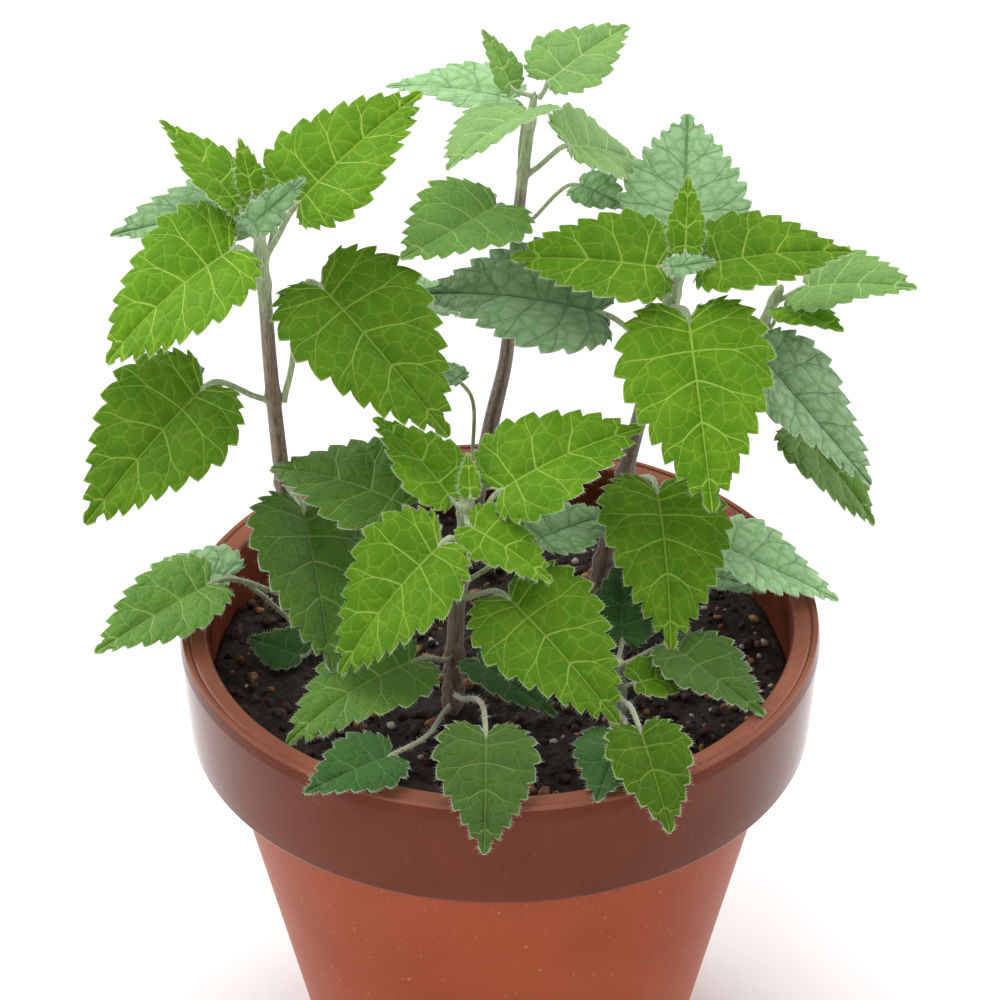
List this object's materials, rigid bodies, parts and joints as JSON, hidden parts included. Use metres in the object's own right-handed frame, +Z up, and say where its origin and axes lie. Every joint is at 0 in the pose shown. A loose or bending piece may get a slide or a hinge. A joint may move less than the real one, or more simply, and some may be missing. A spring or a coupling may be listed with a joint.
{
  "type": "potted catnip",
  "caption": "Round tapered clay pot with a rim band, filled with soil, growing a bushy catnip plant with upright stems and toothed heart-shaped leaves.",
  "frame": {"origin": "middle of the pot's flat underside, on the surface it stands on", "axes": "+Z up along the pot's axis, -Y towards the plant's front, +X to its right as seen from the front"},
  "size_m": [0.1919, 0.1621, 0.2523],
  "materials": {
    "clay": "matte body with a glossier, darker rim band",
    "soil": "loose, moist and rough",
    "stem": "fine hairs, matte",
    "fresh_leaf": "soft satin, finely hairy",
    "green_leaf": "soft satin, finely hairy",
    "deep_leaf": "soft satin, finely hairy",
    "pale_leaf": "matte, finely hairy"
  },
  "bodies": {
    "root": {"pot": "clay", "soil": "soil", "stem_left": "stem", "leaf_left_1": "fresh_leaf", "leaf_left_2": "pale_leaf", "leaf_left_3": "fresh_leaf", "leaf_left_4": "fresh_leaf", "leaf_left_5": "fresh_leaf", "leaf_left_6": "pale_leaf", "leaf_left_7": "fresh_leaf", "leaf_left_8": "fresh_leaf", "leaf_left_9": "green_leaf", "leaf_left_10": "green_leaf", "leaf_left_11": "pale_leaf", "leaf_left_12": "deep_leaf", "stem_front": "stem", "leaf_front_1": "fresh_leaf", "leaf_front_2": "fresh_leaf", "leaf_front_3": "fresh_leaf", "leaf_front_4": "fresh_leaf", "leaf_front_5": "green_leaf", "leaf_front_6": "fresh_leaf", "leaf_front_7": "fresh_leaf", "leaf_front_8": "pale_leaf", "leaf_front_9": "green_leaf", "leaf_front_10": "deep_leaf", "leaf_front_11": "green_leaf", "leaf_front_12": "deep_leaf", "stem_back": "stem", "leaf_back_1": "green_leaf", "leaf_back_2": "green_leaf", "leaf_back_3": "green_leaf", "leaf_back_4": "pale_leaf", "leaf_back_5": "green_leaf", "leaf_back_6": "green_leaf", "leaf_back_7": "pale_leaf", "leaf_back_8": "pale_leaf", "leaf_back_9": "pale_leaf", "stem_right": "stem", "leaf_right_1": "fresh_leaf", "leaf_right_2": "pale_leaf", "leaf_right_3": "fresh_leaf", "leaf_right_4": "fresh_leaf", "leaf_right_5": "pale_leaf", "leaf_right_6": "fresh_leaf", "leaf_right_7": "pale_leaf", "leaf_right_8": "pale_leaf", "leaf_right_9": "fresh_leaf", "leaf_right_10": "pale_leaf", "leaf_right_11": "pale_leaf", "stem_far": "stem", "leaf_far_1": "green_leaf", "leaf_far_2": "fresh_leaf", "leaf_far_3": "green_leaf", "stem_low": "stem", "leaf_low_1": "deep_leaf", "leaf_low_2": "green_leaf", "leaf_low_3": "fresh_leaf", "leaf_low_4": "fresh_leaf", "leaf_low_5": "deep_leaf"}
  },
  "joints": []
}
